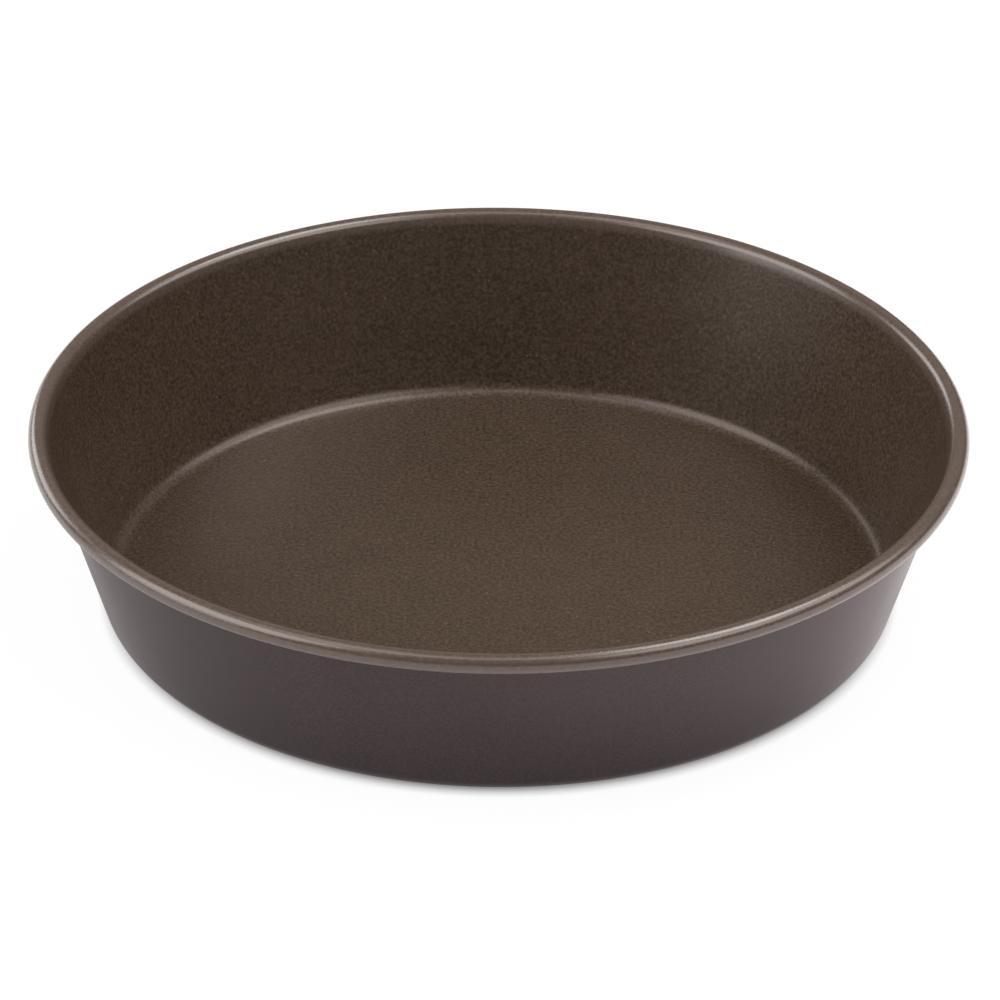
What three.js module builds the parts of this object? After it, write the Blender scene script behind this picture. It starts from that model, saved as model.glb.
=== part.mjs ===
// Flan pan: a round baking pan pressed from one steel blank, with a flat base, a flared wall
// and a rim curled outwards around a hoop of steel wire.
// Millimetres, +Z up. The origin is on the table, under the centre of the base.

import * as THREE from 'three';

// Driving dimensions: the outline of the pan
const RIM_DIAMETER = 240; // over the outside of the rim bead
const PAN_HEIGHT = 49; // table to the top of the rim bead
const BASE_DIAMETER = 203; // underside, where the outer face of the wall would meet the table

// Driving dimensions: the sheet and its bends
const SHEET = 0.8; // thickness of the blank
const CORNER_RADIUS = 4.5; // inside of the bend between base and wall
const NECK_RADIUS = 12; // outside of the bend that flares the wall below the bead
const NECK_FLARE = THREE.MathUtils.degToRad(14); // how far the neck turns the wall outwards

// Driving dimensions: the wired edge
const WIRE_DIAMETER = 2.8;
const WIRE_CLEARANCE = 0.3; // between the wire and the curl around it
const EDGE_CLEARANCE = 0.3; // between the tucked edge of the sheet and the outside of the wall
const WIRE_END_GAP = 1; // between the two cut ends of the hoop

// Fineness of the facets
const FACETS_AROUND = 96;
const FACET_TURN = THREE.MathUtils.degToRad(18); // largest turn of the sheet from facet to facet
const WIRE_HALF_SIDES = 5; // the wire's section has twice as many sides

// The bead is the wire, its clearance and one thickness of sheet around them
const CURL_RADIUS = WIRE_DIAMETER / 2 + WIRE_CLEARANCE;
const BEAD_RADIUS = CURL_RADIUS + SHEET;
const beadCentre = new THREE.Vector2(RIM_DIAMETER / 2 - BEAD_RADIUS, PAN_HEIGHT - BEAD_RADIUS);

// The wall starts at the sharp corner of base and wall, and runs tangent to the neck bend.
// Its lean is measured from the vertical.
const sharpCorner = new THREE.Vector2(BASE_DIAMETER / 2, 0);
const cornerToBead = beadCentre.clone().sub(sharpCorner);
const beadOffset = NECK_RADIUS - (NECK_RADIUS - CURL_RADIUS) * Math.cos(NECK_FLARE);
const wallLean = Math.acos(beadOffset / cornerToBead.length()) - cornerToBead.angle();

// Walks along the underside of the sheet in the plane of radius and height, out from the axis.
// Each stop keeps its place on the underside and the direction through the sheet to the other face.
class SheetWalk {
  constructor() {
    this.place = new THREE.Vector2(0, 0);
    this.heading = 0;
    this.stops = [];
    this.mark();
  }

  through() {
    return new THREE.Vector2(-Math.sin(this.heading), Math.cos(this.heading));
  }

  mark() {
    this.stops.push({ under: this.place.clone(), through: this.through() });
  }

  straight(length) {
    this.place.x += length * Math.cos(this.heading);
    this.place.y += length * Math.sin(this.heading);
    this.mark();
  }

  // A positive turn bends the sheet upwards, a negative one outwards and down.
  bend(radius, turn) {
    const steps = Math.ceil(Math.abs(turn) / FACET_TURN);
    const side = Math.sign(turn) * radius;
    const centre = this.place.clone().addScaledVector(this.through(), side);
    for (let step = 0; step < steps; step += 1) {
      this.heading += turn / steps;
      this.place = centre.clone().addScaledVector(this.through(), -side);
      this.mark();
    }
  }

  // Closed outline of the sheet: out along the underside, back along the other face.
  outline(thickness) {
    const under = this.stops.map((stop) => stop.under);
    const over = this.stops.map((stop) => stop.under.clone().addScaledVector(stop.through, thickness));
    return [...under, ...over.reverse()];
  }
}

// Pan shell: base, corner bend, wall, neck and curl are one unbroken sheet.
function makePanShell() {
  const underCornerRadius = CORNER_RADIUS + SHEET;
  const cornerTurn = Math.PI / 2 - wallLean;
  const setback = underCornerRadius * Math.tan(cornerTurn / 2);

  // Distance along the wall from the sharp corner to the start of the neck
  const uphill = new THREE.Vector2(Math.sin(wallLean), Math.cos(wallLean));
  const neckRise = (NECK_RADIUS - CURL_RADIUS) * Math.sin(NECK_FLARE);
  const wallToNeck = cornerToBead.dot(uphill) - neckRise;

  // The curl stops where its tucked edge is one clearance short of the neck's outer face.
  const neckToBead = NECK_RADIUS - CURL_RADIUS;
  const edgeToNeckCentre = NECK_RADIUS - EDGE_CLEARANCE;
  const tuckCosine =
    (BEAD_RADIUS ** 2 + neckToBead ** 2 - edgeToNeckCentre ** 2) / (2 * BEAD_RADIUS * neckToBead);
  const curlTurn = Math.PI + Math.acos(tuckCosine);

  const walk = new SheetWalk();
  walk.straight(BASE_DIAMETER / 2 - setback);
  walk.bend(underCornerRadius, cornerTurn);
  walk.straight(wallToNeck - setback);
  walk.bend(NECK_RADIUS, -NECK_FLARE);

  // The curl has a stop at its top and one at its outermost point, so its facets keep the overall sizes.
  const quarter = Math.PI / 2;
  const turnToTop = quarter - wallLean - NECK_FLARE;
  walk.bend(CURL_RADIUS, -turnToTop);
  walk.bend(CURL_RADIUS, -quarter);
  walk.bend(CURL_RADIUS, -(curlTurn - turnToTop - quarter));

  const geometry = new THREE.LatheGeometry(walk.outline(SHEET), FACETS_AROUND);
  geometry.rotateX(Math.PI / 2);
  return geometry;
}

// Centre line of the wire: a level hoop with a small gap between its two ends, at the back.
class HoopCurve extends THREE.Curve {
  constructor(radius, endGap) {
    super();
    this.radius = radius;
    this.halfGap = endGap / 2 / radius;
  }

  getPoint(along, target = new THREE.Vector3()) {
    const sweep = 2 * (Math.PI - this.halfGap);
    const angle = Math.PI / 2 + this.halfGap + along * sweep;
    return target.set(this.radius * Math.cos(angle), this.radius * Math.sin(angle), 0);
  }
}

// Rim wire: a hoop cut from round steel wire, lying inside the curl of the rim.
function makeRimWire() {
  const section = new THREE.Shape();
  section.absarc(0, 0, WIRE_DIAMETER / 2, 0, 2 * Math.PI);
  return new THREE.ExtrudeGeometry(section, {
    steps: FACETS_AROUND,
    curveSegments: WIRE_HALF_SIDES,
    extrudePath: new HoopCurve(beadCentre.x, WIRE_END_GAP),
    bevelEnabled: false,
  });
}

// Finishes
const coatedSteel = new THREE.MeshStandardMaterial({ color: '#4e4034', roughness: 0.5, metalness: 0.2 });
const drawnWire = new THREE.MeshStandardMaterial({ color: '#9a9a98', roughness: 0.35, metalness: 1 });

const flanPan = new THREE.Group();
flanPan.name = 'flan_pan';

const panShell = new THREE.Mesh(makePanShell(), coatedSteel);
panShell.name = 'pan_shell';
flanPan.add(panShell);

const rimWire = new THREE.Mesh(makeRimWire(), drawnWire);
rimWire.name = 'rim_wire';
rimWire.position.z = beadCentre.y;
flanPan.add(rimWire);

export default flanPan;
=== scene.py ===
# Flan pan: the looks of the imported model, on a white table, seen as in the photograph.
# Metres, +Z up. The origin is on the table, under the centre of the base.

import itertools
import math

import bmesh
import bpy
from mathutils import Matrix, Vector


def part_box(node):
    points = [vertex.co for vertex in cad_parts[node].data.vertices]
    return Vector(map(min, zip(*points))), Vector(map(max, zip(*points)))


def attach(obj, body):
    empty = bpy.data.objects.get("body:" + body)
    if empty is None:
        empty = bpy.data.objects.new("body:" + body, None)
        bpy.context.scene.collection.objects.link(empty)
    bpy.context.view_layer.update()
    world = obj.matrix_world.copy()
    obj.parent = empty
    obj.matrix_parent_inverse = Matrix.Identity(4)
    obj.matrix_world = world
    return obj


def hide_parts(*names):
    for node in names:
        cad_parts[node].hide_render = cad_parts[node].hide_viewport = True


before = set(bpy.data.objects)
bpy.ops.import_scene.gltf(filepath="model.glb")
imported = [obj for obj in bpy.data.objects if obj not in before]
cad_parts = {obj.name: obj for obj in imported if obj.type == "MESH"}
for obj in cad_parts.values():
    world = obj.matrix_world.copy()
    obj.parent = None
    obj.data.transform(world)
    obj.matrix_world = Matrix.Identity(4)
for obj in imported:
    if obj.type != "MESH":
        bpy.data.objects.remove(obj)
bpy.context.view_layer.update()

# Outline of the pan, from the frame
_, shell_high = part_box("pan_shell")
RIM_RADIUS = shell_high.x
PAN_HEIGHT = shell_high.z

# Driving dimensions of the sheet, its bends and the wired edge, as in the CAD model.
# Only the neck is gentler than there, as the photograph's far rim shows it.
BASE_RADIUS = 0.1015  # underside, where the outer face of the wall would meet the table
SHEET = 0.0008
CORNER_RADIUS = 0.0045  # inside of the bend between base and wall
NECK_RADIUS = 0.040  # outside of the bend that flares the wall below the bead
NECK_FLARE = math.radians(3.5)
WIRE_RADIUS = 0.0014
WIRE_CLEARANCE = 0.0003  # between the wire and the curl around it
EDGE_CLEARANCE = 0.0003  # between the tucked edge of the sheet and the neck
WIRE_END_GAP = 0.001

# Fineness of the meshes
FACETS_AROUND = 256
FACET_TURN = math.radians(5)
BASE_STEP = 0.012
WALL_STEP = 0.004
WIRE_SIDES = 24
SHARP_TURN = math.radians(50)
LAYOUT_GAP = 0.003  # between the pieces of the shell's flat layout

# The bead is the wire, its clearance and one thickness of sheet around them
CURL_RADIUS = WIRE_RADIUS + WIRE_CLEARANCE
BEAD_RADIUS = CURL_RADIUS + SHEET
BEAD_CENTRE = Vector((RIM_RADIUS - BEAD_RADIUS, PAN_HEIGHT - BEAD_RADIUS))

# Camera, fitted to the photograph's outlines
CAMERA_LENS = 214.3  # millimetres, on a sensor 36 mm wide
CAMERA_ELEVATION = math.radians(29.65)
CAMERA_ROLL = math.radians(0.365)
CAMERA_DISTANCE = 1.5318
CAMERA_AIM = Vector((0.0004, 0, 0.0245))

# Table and lights
TABLE_RADIUS = 6.0
TABLE_DROP = 0.0002  # keeps the table's face clear of the pan's underside
CONTACT_REACH = 0.007  # how far from the pan the painted contact shadow starts
REFLECTED_LIGHT_REACH = 0.15  # from the pan's middle, each way, over which painted light brightens the table's reflection
LIGHT_DISTANCE = 2.0


# Sheet metal


class SheetWalk:
    """Walks along the underside of the sheet in the plane of radius and height, out from the axis."""

    def __init__(self):
        self.place = Vector((0, 0))
        self.heading = 0.0
        self.under = []
        self.over = []
        self.flat_spans = 0
        self.mark()

    def through(self):
        """Direction through the sheet, from the underside to the other face."""
        return Vector((-math.sin(self.heading), math.cos(self.heading)))

    def mark(self):
        self.under.append(self.place.copy())
        self.over.append(self.place + self.through() * SHEET)

    def straight(self, length, step):
        steps = math.ceil(length / step)
        onward = Vector((math.cos(self.heading), math.sin(self.heading)))
        for _ in range(steps):
            self.place = self.place + onward * (length / steps)
            self.mark()

    def bend(self, radius, turn):
        """A positive turn bends the sheet upwards, a negative one outwards and down."""
        steps = math.ceil(abs(turn) / FACET_TURN)
        side = math.copysign(radius, turn)
        centre = self.place + self.through() * side
        for _ in range(steps):
            self.heading += turn / steps
            self.place = centre - self.through() * side
            self.mark()


def walk_pan_sheet():
    """The pan's section: base, corner bend, wall, neck and curl in one unbroken sheet."""
    corner_to_bead = BEAD_CENTRE - Vector((BASE_RADIUS, 0))
    neck_to_bead = NECK_RADIUS - CURL_RADIUS
    bead_offset = NECK_RADIUS - neck_to_bead * math.cos(NECK_FLARE)
    bearing = math.atan2(corner_to_bead.y, corner_to_bead.x)
    wall_lean = math.acos(bead_offset / corner_to_bead.length) - bearing

    under_corner_radius = CORNER_RADIUS + SHEET
    corner_turn = math.pi / 2 - wall_lean
    setback = under_corner_radius * math.tan(corner_turn / 2)
    uphill = Vector((math.sin(wall_lean), math.cos(wall_lean)))
    wall_to_neck = corner_to_bead.dot(uphill) - neck_to_bead * math.sin(NECK_FLARE)

    # The curl stops where its tucked edge is one clearance short of the neck's outer face
    edge_to_neck_centre = NECK_RADIUS - EDGE_CLEARANCE
    squares = BEAD_RADIUS**2 + neck_to_bead**2 - edge_to_neck_centre**2
    curl_turn = math.pi + math.acos(squares / (2 * BEAD_RADIUS * neck_to_bead))
    turn_to_top = math.pi / 2 - wall_lean - NECK_FLARE

    # The curl has a stop at its top and one at its outermost point, which keep the overall sizes
    walk = SheetWalk()
    walk.straight(BASE_RADIUS - setback, BASE_STEP)
    walk.flat_spans = len(walk.under) - 1
    walk.bend(under_corner_radius, corner_turn)
    walk.straight(wall_to_neck - setback, WALL_STEP)
    walk.bend(NECK_RADIUS, -NECK_FLARE)
    walk.bend(CURL_RADIUS, -turn_to_top)
    walk.bend(CURL_RADIUS, -math.pi / 2)
    walk.bend(CURL_RADIUS, -(curl_turn - turn_to_top - math.pi / 2))
    return walk


class ShellLayout:
    """Flat layout of the shell for textures: the base's two faces as discs, the rest as two strips."""

    def __init__(self, outline, flat_spans):
        lengths = [(end - start).length for start, end in zip(outline, outline[1:])]
        self.along = list(itertools.accumulate(lengths, initial=0.0))
        self.outline = outline
        self.first_strip_span = flat_spans
        self.strip_stop = len(lengths) - flat_spans
        self.strip_height = self.along[self.strip_stop] - self.along[flat_spans]
        self.disc_radius = outline[flat_spans].x
        self.disc_height = LAYOUT_GAP + 2 * (self.strip_height + LAYOUT_GAP) + self.disc_radius
        self.side = self.disc_height + self.disc_radius + LAYOUT_GAP

    def place(self, span, ring, facet, turn):
        """Where a face's corner lies. Span and facet name the face, ring and turn the corner."""
        angle = 2 * math.pi * turn / FACETS_AROUND
        if self.first_strip_span <= span < self.strip_stop:
            strip = 2 * facet // FACETS_AROUND
            across = (angle - strip * math.pi) * RIM_RADIUS
            up = self.along[ring] - self.along[self.first_strip_span]
            strip_foot = LAYOUT_GAP + strip * (self.strip_height + LAYOUT_GAP)
            spot = Vector((LAYOUT_GAP + across, strip_foot + up))
        else:
            disc = 0 if span < self.first_strip_span else 1
            disc_left = LAYOUT_GAP + disc * (2 * self.disc_radius + LAYOUT_GAP)
            disc_centre = Vector((disc_left + self.disc_radius, self.disc_height))
            outward = Vector((math.cos(angle), math.sin(angle)))
            spot = disc_centre + outward * self.outline[ring].x
        return spot / self.side


def revolve(name, outline, span_materials, materials, layout):
    """Closed body of revolution. The outline starts and ends on the axis, and each span has a material."""
    bm = bmesh.new()
    texture_layer = bm.loops.layers.uv.new("OFBake")
    rings = []
    for radius, height in outline:
        facets = FACETS_AROUND if radius > 0 else 1
        ring = []
        for facet in range(facets):
            angle = 2 * math.pi * facet / FACETS_AROUND
            ring.append(bm.verts.new((radius * math.cos(angle), radius * math.sin(angle), height)))
        rings.append(ring)

    for span, material in enumerate(span_materials):
        for facet in range(FACETS_AROUND):
            around_face = ((span, facet), (span, facet + 1), (span + 1, facet + 1), (span + 1, facet))
            corners = {}
            for ring, turn in around_face:
                vertex = rings[ring][turn % len(rings[ring])]
                corners.setdefault(vertex, (ring, turn))
            face = bm.faces.new(list(corners))
            face.material_index = material
            face.smooth = True
            for loop, (ring, turn) in zip(face.loops, corners.values()):
                loop[texture_layer].uv = layout.place(span, ring, facet, turn)
    return finish_mesh(name, bm, materials)


def finish_mesh(name, bm, materials):
    """Object of a built mesh, smooth apart from its sharp edges."""
    mesh = bpy.data.meshes.new(name)
    bm.to_mesh(mesh)
    bm.free()
    for material in materials:
        mesh.materials.append(material)
    mesh.set_sharp_from_angle(angle=SHARP_TURN)
    piece = bpy.data.objects.new(name, mesh)
    bpy.context.scene.collection.objects.link(piece)
    return piece


# Materials

# Sockets of a node that mixes colours, which share their names with others
MIX_SHARE, MIX_FIRST, MIX_SECOND, MIX_RESULT = 0, 6, 7, 2

# Parts of the noises' range over which a look changes
CLOUD_RANGE = (0.35, 0.65)  # colour of the clouds
GRAIN_RANGE = (0.35, 0.75)  # colour of the grain
FINISH_RANGE = (0.3, 0.7)  # roughness, and the grey of steel

# Edges of a fleck, in radii of the fleck, and the share of the chosen flecks that are at full strength
FLECK_OUTER = 1.3
FLECK_INNER = 0.6
FULL_FLECKS = 0.6

# Where the bead's own finish starts to fade and where it ends, in radii of the bead
BEAD_FADE_START = 1.02
BEAD_FADE_END = 1.3

COATING_GRAIN = 0.0009  # size of the grain in both coatings


class Shading:
    """A new material and short calls that add nodes to it."""

    def __init__(self, name):
        self.material = bpy.data.materials.new(name)
        self.material.use_nodes = True
        self.tree = self.material.node_tree
        self.shader = self.tree.nodes["Principled BSDF"]
        self.coordinates = self.add("ShaderNodeTexCoord").outputs["Object"]

    def add(self, kind, inputs=None, **settings):
        node = self.tree.nodes.new(kind)
        for setting, value in settings.items():
            setattr(node, setting, value)
        for socket, value in (inputs or {}).items():
            self.put(node.inputs[socket], value)
        return node

    def put(self, socket, value):
        if isinstance(value, bpy.types.NodeSocket):
            self.tree.links.new(value, socket)
        else:
            socket.default_value = value

    def shade(self, socket_name, value):
        """Puts a value into a socket of the material's own shader."""
        self.put(self.shader.inputs[socket_name], value)

    def noise(self, size, detail=2.0):
        """Even noise from 0 to 1 whose lumps are about this size."""
        inputs = {"Vector": self.coordinates, "Scale": 1 / size, "Detail": detail}
        return self.add("ShaderNodeTexNoise", inputs).outputs["Fac"]

    def ramp(self, value, limits, results=(0.0, 1.0)):
        """Maps the range between two limits to the one between two results, held at both ends."""
        low, high = limits
        start, end = results
        inputs = {"Value": value, "From Min": low, "From Max": high, "To Min": start, "To Max": end}
        return self.add("ShaderNodeMapRange", inputs).outputs["Result"]

    def calculate(self, operation, first, second):
        return self.add("ShaderNodeMath", {0: first, 1: second}, operation=operation).outputs["Value"]

    def mix(self, share, first, second):
        """First colour with this share of the second one."""
        inputs = {MIX_SHARE: share, MIX_FIRST: first, MIX_SECOND: second}
        return self.add("ShaderNodeMix", inputs, data_type="RGBA").outputs[MIX_RESULT]

    def flecks(self, spacing, size, share):
        """Small round spots on a share of the cells that lie this far apart."""
        inputs = {"Vector": self.coordinates, "Scale": 1 / spacing}
        cells = self.add("ShaderNodeTexVoronoi", inputs)
        reach = size / spacing / 2
        spot = self.ramp(cells.outputs["Distance"], (reach * FLECK_OUTER, reach * FLECK_INNER))
        chance = self.add("ShaderNodeSeparateColor", {"Color": cells.outputs["Color"]}).outputs["Red"]
        chosen = self.ramp(chance, (1 - share, 1 - share * FULL_FLECKS))
        return self.calculate("MULTIPLY", spot, chosen)

    def near_ring(self, centre, near, far):
        """1 within the near distance of a level ring, falling to 0 at the far one."""
        flat = self.add("ShaderNodeVectorMath", {0: self.coordinates, 1: (1, 1, 0)}, operation="MULTIPLY")
        radius = self.add("ShaderNodeVectorMath", {0: flat.outputs["Vector"]}, operation="LENGTH")
        height = self.add("ShaderNodeSeparateXYZ", {"Vector": self.coordinates}).outputs["Z"]
        section = self.add("ShaderNodeCombineXYZ", {"X": radius.outputs["Value"], "Y": height})
        inputs = {0: section.outputs["Vector"], 1: (centre.x, centre.y, 0)}
        distance = self.add("ShaderNodeVectorMath", inputs, operation="DISTANCE").outputs["Value"]
        return self.ramp(distance, (far, near))

    def bump(self, height, depth):
        inputs = {"Height": height, "Distance": depth}
        return self.add("ShaderNodeBump", inputs).outputs["Normal"]


def make_inside_coating():
    """Warm brown non-stick coating with fine grain and small pale flecks, paler on the burnished bead."""
    brown = (0.0455, 0.0276, 0.017, 1)
    dark_brown = (0.0392, 0.0235, 0.0144, 1)
    bead_brown = (0.085, 0.057, 0.044, 1)
    pale_fleck = (0.17, 0.125, 0.09, 1)
    reflection_tint = (1, 0.85, 0.78, 1)
    reflection_level = 0.68
    roughness_range = (0.28, 0.34)
    cloud_size = 0.014
    grain_strength = 0.4
    grain_depth = 0.00004
    fleck_spacing = 0.0026
    fleck_size = 0.0006
    fleck_share = 0.3
    fleck_strength = 0.7
    bead_gloss = 0.95  # weight of the gloss that rolling gave the bead
    bead_gloss_roughness = 0.2

    look = Shading("brown_coating")
    cloud = look.noise(cloud_size)
    grain = look.noise(COATING_GRAIN)
    bead = look.near_ring(BEAD_CENTRE, BEAD_RADIUS * BEAD_FADE_START, BEAD_RADIUS * BEAD_FADE_END)
    colour = look.mix(look.ramp(cloud, CLOUD_RANGE), dark_brown, brown)
    colour = look.mix(bead, colour, bead_brown)
    colour = look.mix(look.ramp(grain, GRAIN_RANGE, (0.0, grain_strength)), colour, pale_fleck)
    flecks = look.flecks(fleck_spacing, fleck_size, fleck_share)
    colour = look.mix(look.calculate("MULTIPLY", flecks, fleck_strength), colour, pale_fleck)

    look.shade("Base Color", colour)
    look.shade("Specular IOR Level", reflection_level)
    look.shade("Specular Tint", reflection_tint)
    look.shade("Roughness", look.ramp(grain, FINISH_RANGE, roughness_range))
    look.shade("Coat Weight", look.calculate("MULTIPLY", bead, bead_gloss))
    look.shade("Coat Roughness", bead_gloss_roughness)
    look.shade("Normal", look.bump(grain, grain_depth))
    return look.material


def make_outside_coating():
    """Darker grey-brown satin coating, smoother than the inside one."""
    grey_brown = (0.028, 0.018, 0.019, 1)
    dark_grey_brown = (0.023, 0.015, 0.016, 1)
    pale = (0.080, 0.058, 0.060, 1)
    reflection_tint = (1, 0.81, 0.82, 1)
    reflection_level = 0.6
    roughness_range = (0.20, 0.25)
    cloud_size = 0.020
    grain_strength = 0.3
    grain_depth = 0.00003

    look = Shading("grey_coating")
    cloud = look.noise(cloud_size)
    grain = look.noise(COATING_GRAIN)
    colour = look.mix(look.ramp(cloud, CLOUD_RANGE), dark_grey_brown, grey_brown)
    colour = look.mix(look.ramp(grain, GRAIN_RANGE, (0.0, grain_strength)), colour, pale)

    look.shade("Base Color", colour)
    look.shade("Specular IOR Level", reflection_level)
    look.shade("Specular Tint", reflection_tint)
    look.shade("Roughness", look.ramp(cloud, FINISH_RANGE, roughness_range))
    look.shade("Normal", look.bump(grain, grain_depth))
    return look.material


def make_steel(name):
    """Bare steel with a fine uneven grey."""
    light_steel = (0.60, 0.60, 0.59, 1)
    dark_steel = (0.42, 0.42, 0.41, 1)
    roughness_range = (0.28, 0.42)
    grain_size = 0.0004
    grain_detail = 4.0
    grain_depth = 0.00003

    look = Shading(name)
    grain = look.noise(grain_size, grain_detail)
    look.shade("Base Color", look.mix(look.ramp(grain, FINISH_RANGE), dark_steel, light_steel))
    look.shade("Metallic", 1.0)
    look.shade("Roughness", look.ramp(grain, FINISH_RANGE, roughness_range))
    look.shade("Normal", look.bump(grain, grain_depth))
    return look.material


# Pan shell: the outline runs out along the underside and back along the inside

OUTSIDE, INSIDE, EDGE = range(3)
pan_walk = walk_pan_sheet()
pan_outline = pan_walk.under + pan_walk.over[::-1]
face_spans = len(pan_walk.under) - 1
pan_spans = [OUTSIDE] * face_spans + [EDGE] + [INSIDE] * face_spans
pan_materials = [make_outside_coating(), make_inside_coating(), make_steel("cut_edge")]
pan_layout = ShellLayout(pan_outline, pan_walk.flat_spans)
pan_shell = revolve("pan_shell_formed", pan_outline, pan_spans, pan_materials, pan_layout)
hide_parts("pan_shell")
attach(pan_shell, "root")

# Rim wire


def make_rim_wire():
    """Hoop of round wire inside the curl, with its two cut ends at the back."""
    half_gap = WIRE_END_GAP / 2 / BEAD_CENTRE.x
    sweep = 2 * (math.pi - half_gap)
    bm = bmesh.new()
    rings = []
    for station in range(FACETS_AROUND + 1):
        angle = math.pi / 2 + half_gap + sweep * station / FACETS_AROUND
        ring = []
        for side in range(WIRE_SIDES):
            turn = 2 * math.pi * side / WIRE_SIDES
            radius = BEAD_CENTRE.x + WIRE_RADIUS * math.cos(turn)
            height = BEAD_CENTRE.y + WIRE_RADIUS * math.sin(turn)
            ring.append(bm.verts.new((radius * math.cos(angle), radius * math.sin(angle), height)))
        rings.append(ring)
    for first, second in zip(rings, rings[1:]):
        for side in range(WIRE_SIDES):
            following = (side + 1) % WIRE_SIDES
            face = bm.faces.new((first[side], second[side], second[following], first[following]))
            face.smooth = True
    bm.faces.new(rings[0])
    bm.faces.new(rings[-1][::-1])
    return finish_mesh("rim_wire_hoop", bm, [make_steel("drawn_wire")])


rim_wire = make_rim_wire()
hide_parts("rim_wire")
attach(rim_wire, "root")

# Table: white to the camera, with painted light in reflections, and with the pan's shadow on it, deepened
# near the pan by a painted contact shadow

TABLE_COLOUR = (0.72, 0.7, 0.695, 1)  # as it lights the pan and shows in the coatings
SEEN_COLOUR = (0.1, 0.1, 0.1, 1)  # as the camera sees it, under the lift
SEEN_LIFT = 0.93
WHITE_LIFT = (1, 1, 1, 1)
CONTACT_OPENNESS = (0.05, 0.55)  # of the table where the painted contact shadow is full and where it ends
CONTACT_LIFT = 0.2  # what is left of the lift where the painted contact shadow is full
MIRRORED_LIFT = 0.46  # painted light in reflections, at the right and the back
LEAST_LIFT = 0.03  # the same painted light, at the left and the front
# Tint of that painted light in reflections
MIRRORED_TINT = (1, 0.85, 0.86, 1)
REFLECTED_LIGHT_SIDE = (0.88, 0.48, 0)  # towards the right and the back, where painted light brightens the table's reflection


def make_table_look():
    """Matt white with a lift, which differs between what the camera sees and what the pan mirrors. Near
    the pan the lift is cut by a painted contact shadow, and in reflections it is painted light that grows
    towards the right and the back.
    """
    look = Shading("table_white")
    look.tree.nodes.remove(look.shader)
    path = look.add("ShaderNodeLightPath").outputs
    to_camera = path["Is Camera Ray"]
    in_reflection = path["Is Glossy Ray"]
    colour = look.mix(to_camera, TABLE_COLOUR, SEEN_COLOUR)
    diffuse = look.add("ShaderNodeBsdfDiffuse", {"Color": colour})

    # The lift fades near the pan by ambient occlusion: a painted contact shadow, on top of the real one
    # from the diffuse part
    openness = look.add("ShaderNodeAmbientOcclusion", {"Distance": CONTACT_REACH}).outputs["AO"]
    whiteness = look.ramp(openness, CONTACT_OPENNESS, (CONTACT_LIFT, SEEN_LIFT))
    seen = look.calculate("MULTIPLY", to_camera, whiteness)

    # Painted light in the table's reflections, brighter towards the right and the back
    inputs = {0: look.coordinates, 1: REFLECTED_LIGHT_SIDE}
    across = look.add("ShaderNodeVectorMath", inputs, operation="DOT_PRODUCT").outputs["Value"]
    painted_reflection_light = look.ramp(across, (-REFLECTED_LIGHT_REACH, REFLECTED_LIGHT_REACH), (LEAST_LIFT, MIRRORED_LIFT))
    mirrored = look.calculate("MULTIPLY", in_reflection, painted_reflection_light)

    lift_colour = look.mix(in_reflection, WHITE_LIFT, MIRRORED_TINT)
    lift_strength = look.calculate("ADD", seen, mirrored)
    lift = look.add("ShaderNodeEmission", {"Color": lift_colour, "Strength": lift_strength})
    both = look.add("ShaderNodeAddShader", {0: diffuse.outputs["BSDF"], 1: lift.outputs["Emission"]})
    look.put(look.tree.nodes["Material Output"].inputs["Surface"], both.outputs["Shader"])
    return look.material


def make_table():
    bm = bmesh.new()
    bmesh.ops.create_circle(bm, cap_ends=True, segments=FACETS_AROUND, radius=TABLE_RADIUS)
    table = finish_mesh("table", bm, [make_table_look()])
    table.location.z = -TABLE_DROP
    return table


make_table()

# Light: groups of soft boxes at the right and the left, one overhead and a dim warm one at the back

PAN_MIDDLE = Vector((0, 0, PAN_HEIGHT / 2))
WHITE = (1, 1, 1)
WARM = (1, 0.8, 0.62)
ROOM_GREY = (0.1, 0.1, 0.1, 1)


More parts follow.
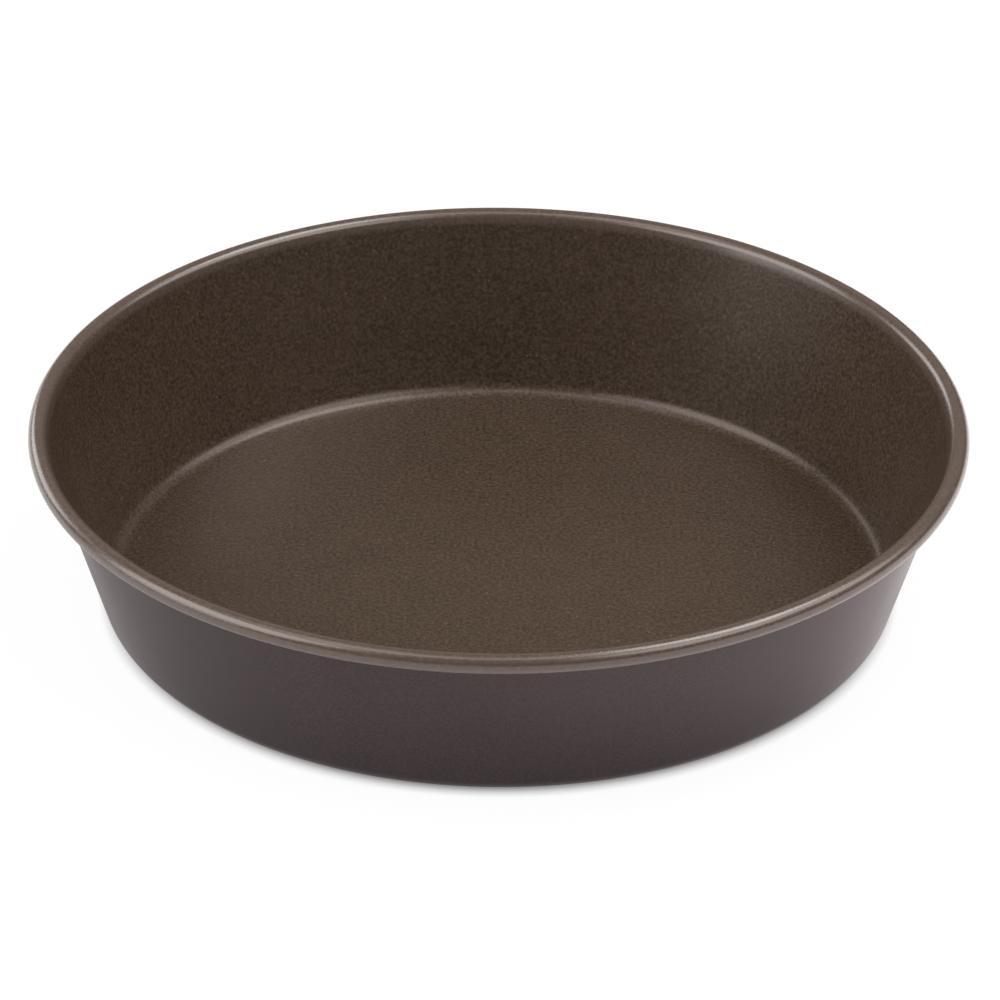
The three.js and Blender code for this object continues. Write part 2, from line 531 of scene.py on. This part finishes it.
def add_soft_box(name, azimuth, elevation, half_width, half_height, radiance, colour=WHITE):
    """Area light that faces the pan. Angles in degrees: azimuth 0 is at the right, 90 at the back."""
    width = 2 * LIGHT_DISTANCE * math.tan(math.radians(half_width))
    height = 2 * LIGHT_DISTANCE * math.tan(math.radians(half_height))
    around = math.radians(azimuth)
    above = math.radians(elevation)
    level = math.cos(above)
    bearing = Vector((math.cos(around) * level, math.sin(around) * level, math.sin(above)))
    light = bpy.data.lights.new(name, "AREA")
    light.shape = "RECTANGLE"
    light.size = width
    light.size_y = height
    light.energy = radiance * math.pi * width * height
    light.color = colour
    lamp = bpy.data.objects.new(name, light)
    lamp.location = PAN_MIDDLE + bearing * LIGHT_DISTANCE
    lamp.rotation_euler = (-bearing).to_track_quat("-Z", "Y").to_euler()
    lamp.visible_camera = False
    bpy.context.scene.collection.objects.link(lamp)


add_soft_box("light_right_core", azimuth=18, elevation=65, half_width=12, half_height=12, radiance=5.4)
add_soft_box("light_right", azimuth=-12, elevation=48, half_width=32, half_height=14, radiance=1.8)
add_soft_box("light_right_low", azimuth=-5, elevation=35, half_width=25, half_height=9, radiance=1.05)
add_soft_box("light_right_front", azimuth=-48, elevation=45, half_width=14, half_height=12, radiance=0.9)
add_soft_box("light_left", azimuth=196, elevation=39, half_width=24, half_height=17, radiance=3.1)
add_soft_box("light_left_low", azimuth=190, elevation=14, half_width=20, half_height=8, radiance=2.1)
add_soft_box("light_left_high", azimuth=170, elevation=71, half_width=17, half_height=9, radiance=1.1)
add_soft_box("light_left_back", azimuth=134, elevation=18, half_width=16, half_height=10, radiance=2.5)
add_soft_box("light_top", azimuth=270, elevation=78, half_width=24, half_height=11, radiance=1.15)
add_soft_box(
    "light_back", azimuth=78, elevation=33, half_width=30, half_height=15, radiance=0.2, colour=WARM
)

world = bpy.data.worlds.new("studio")
bpy.context.scene.world = world
world.use_nodes = True
world.node_tree.nodes["Background"].inputs["Color"].default_value = ROOM_GREY

# Camera


def add_camera():
    """Camera at the photograph's viewpoint, with its small roll."""
    back = Vector((0, -math.cos(CAMERA_ELEVATION), math.sin(CAMERA_ELEVATION)))
    level = Vector((1, 0, 0))
    upright = back.cross(level)
    right = level * math.cos(CAMERA_ROLL) + upright * math.sin(CAMERA_ROLL)
    up = upright * math.cos(CAMERA_ROLL) - level * math.sin(CAMERA_ROLL)
    data = bpy.data.cameras.new("photo_camera")
    data.lens = CAMERA_LENS
    camera = bpy.data.objects.new("photo_camera", data)
    turn = Matrix((right, up, back)).transposed().to_4x4()
    camera.matrix_world = Matrix.Translation(CAMERA_AIM + back * CAMERA_DISTANCE) @ turn
    bpy.context.scene.collection.objects.link(camera)
    bpy.context.scene.camera = camera


add_camera()
bpy.context.scene.view_settings.view_transform = "Standard"

bpy.context.view_layer.update()
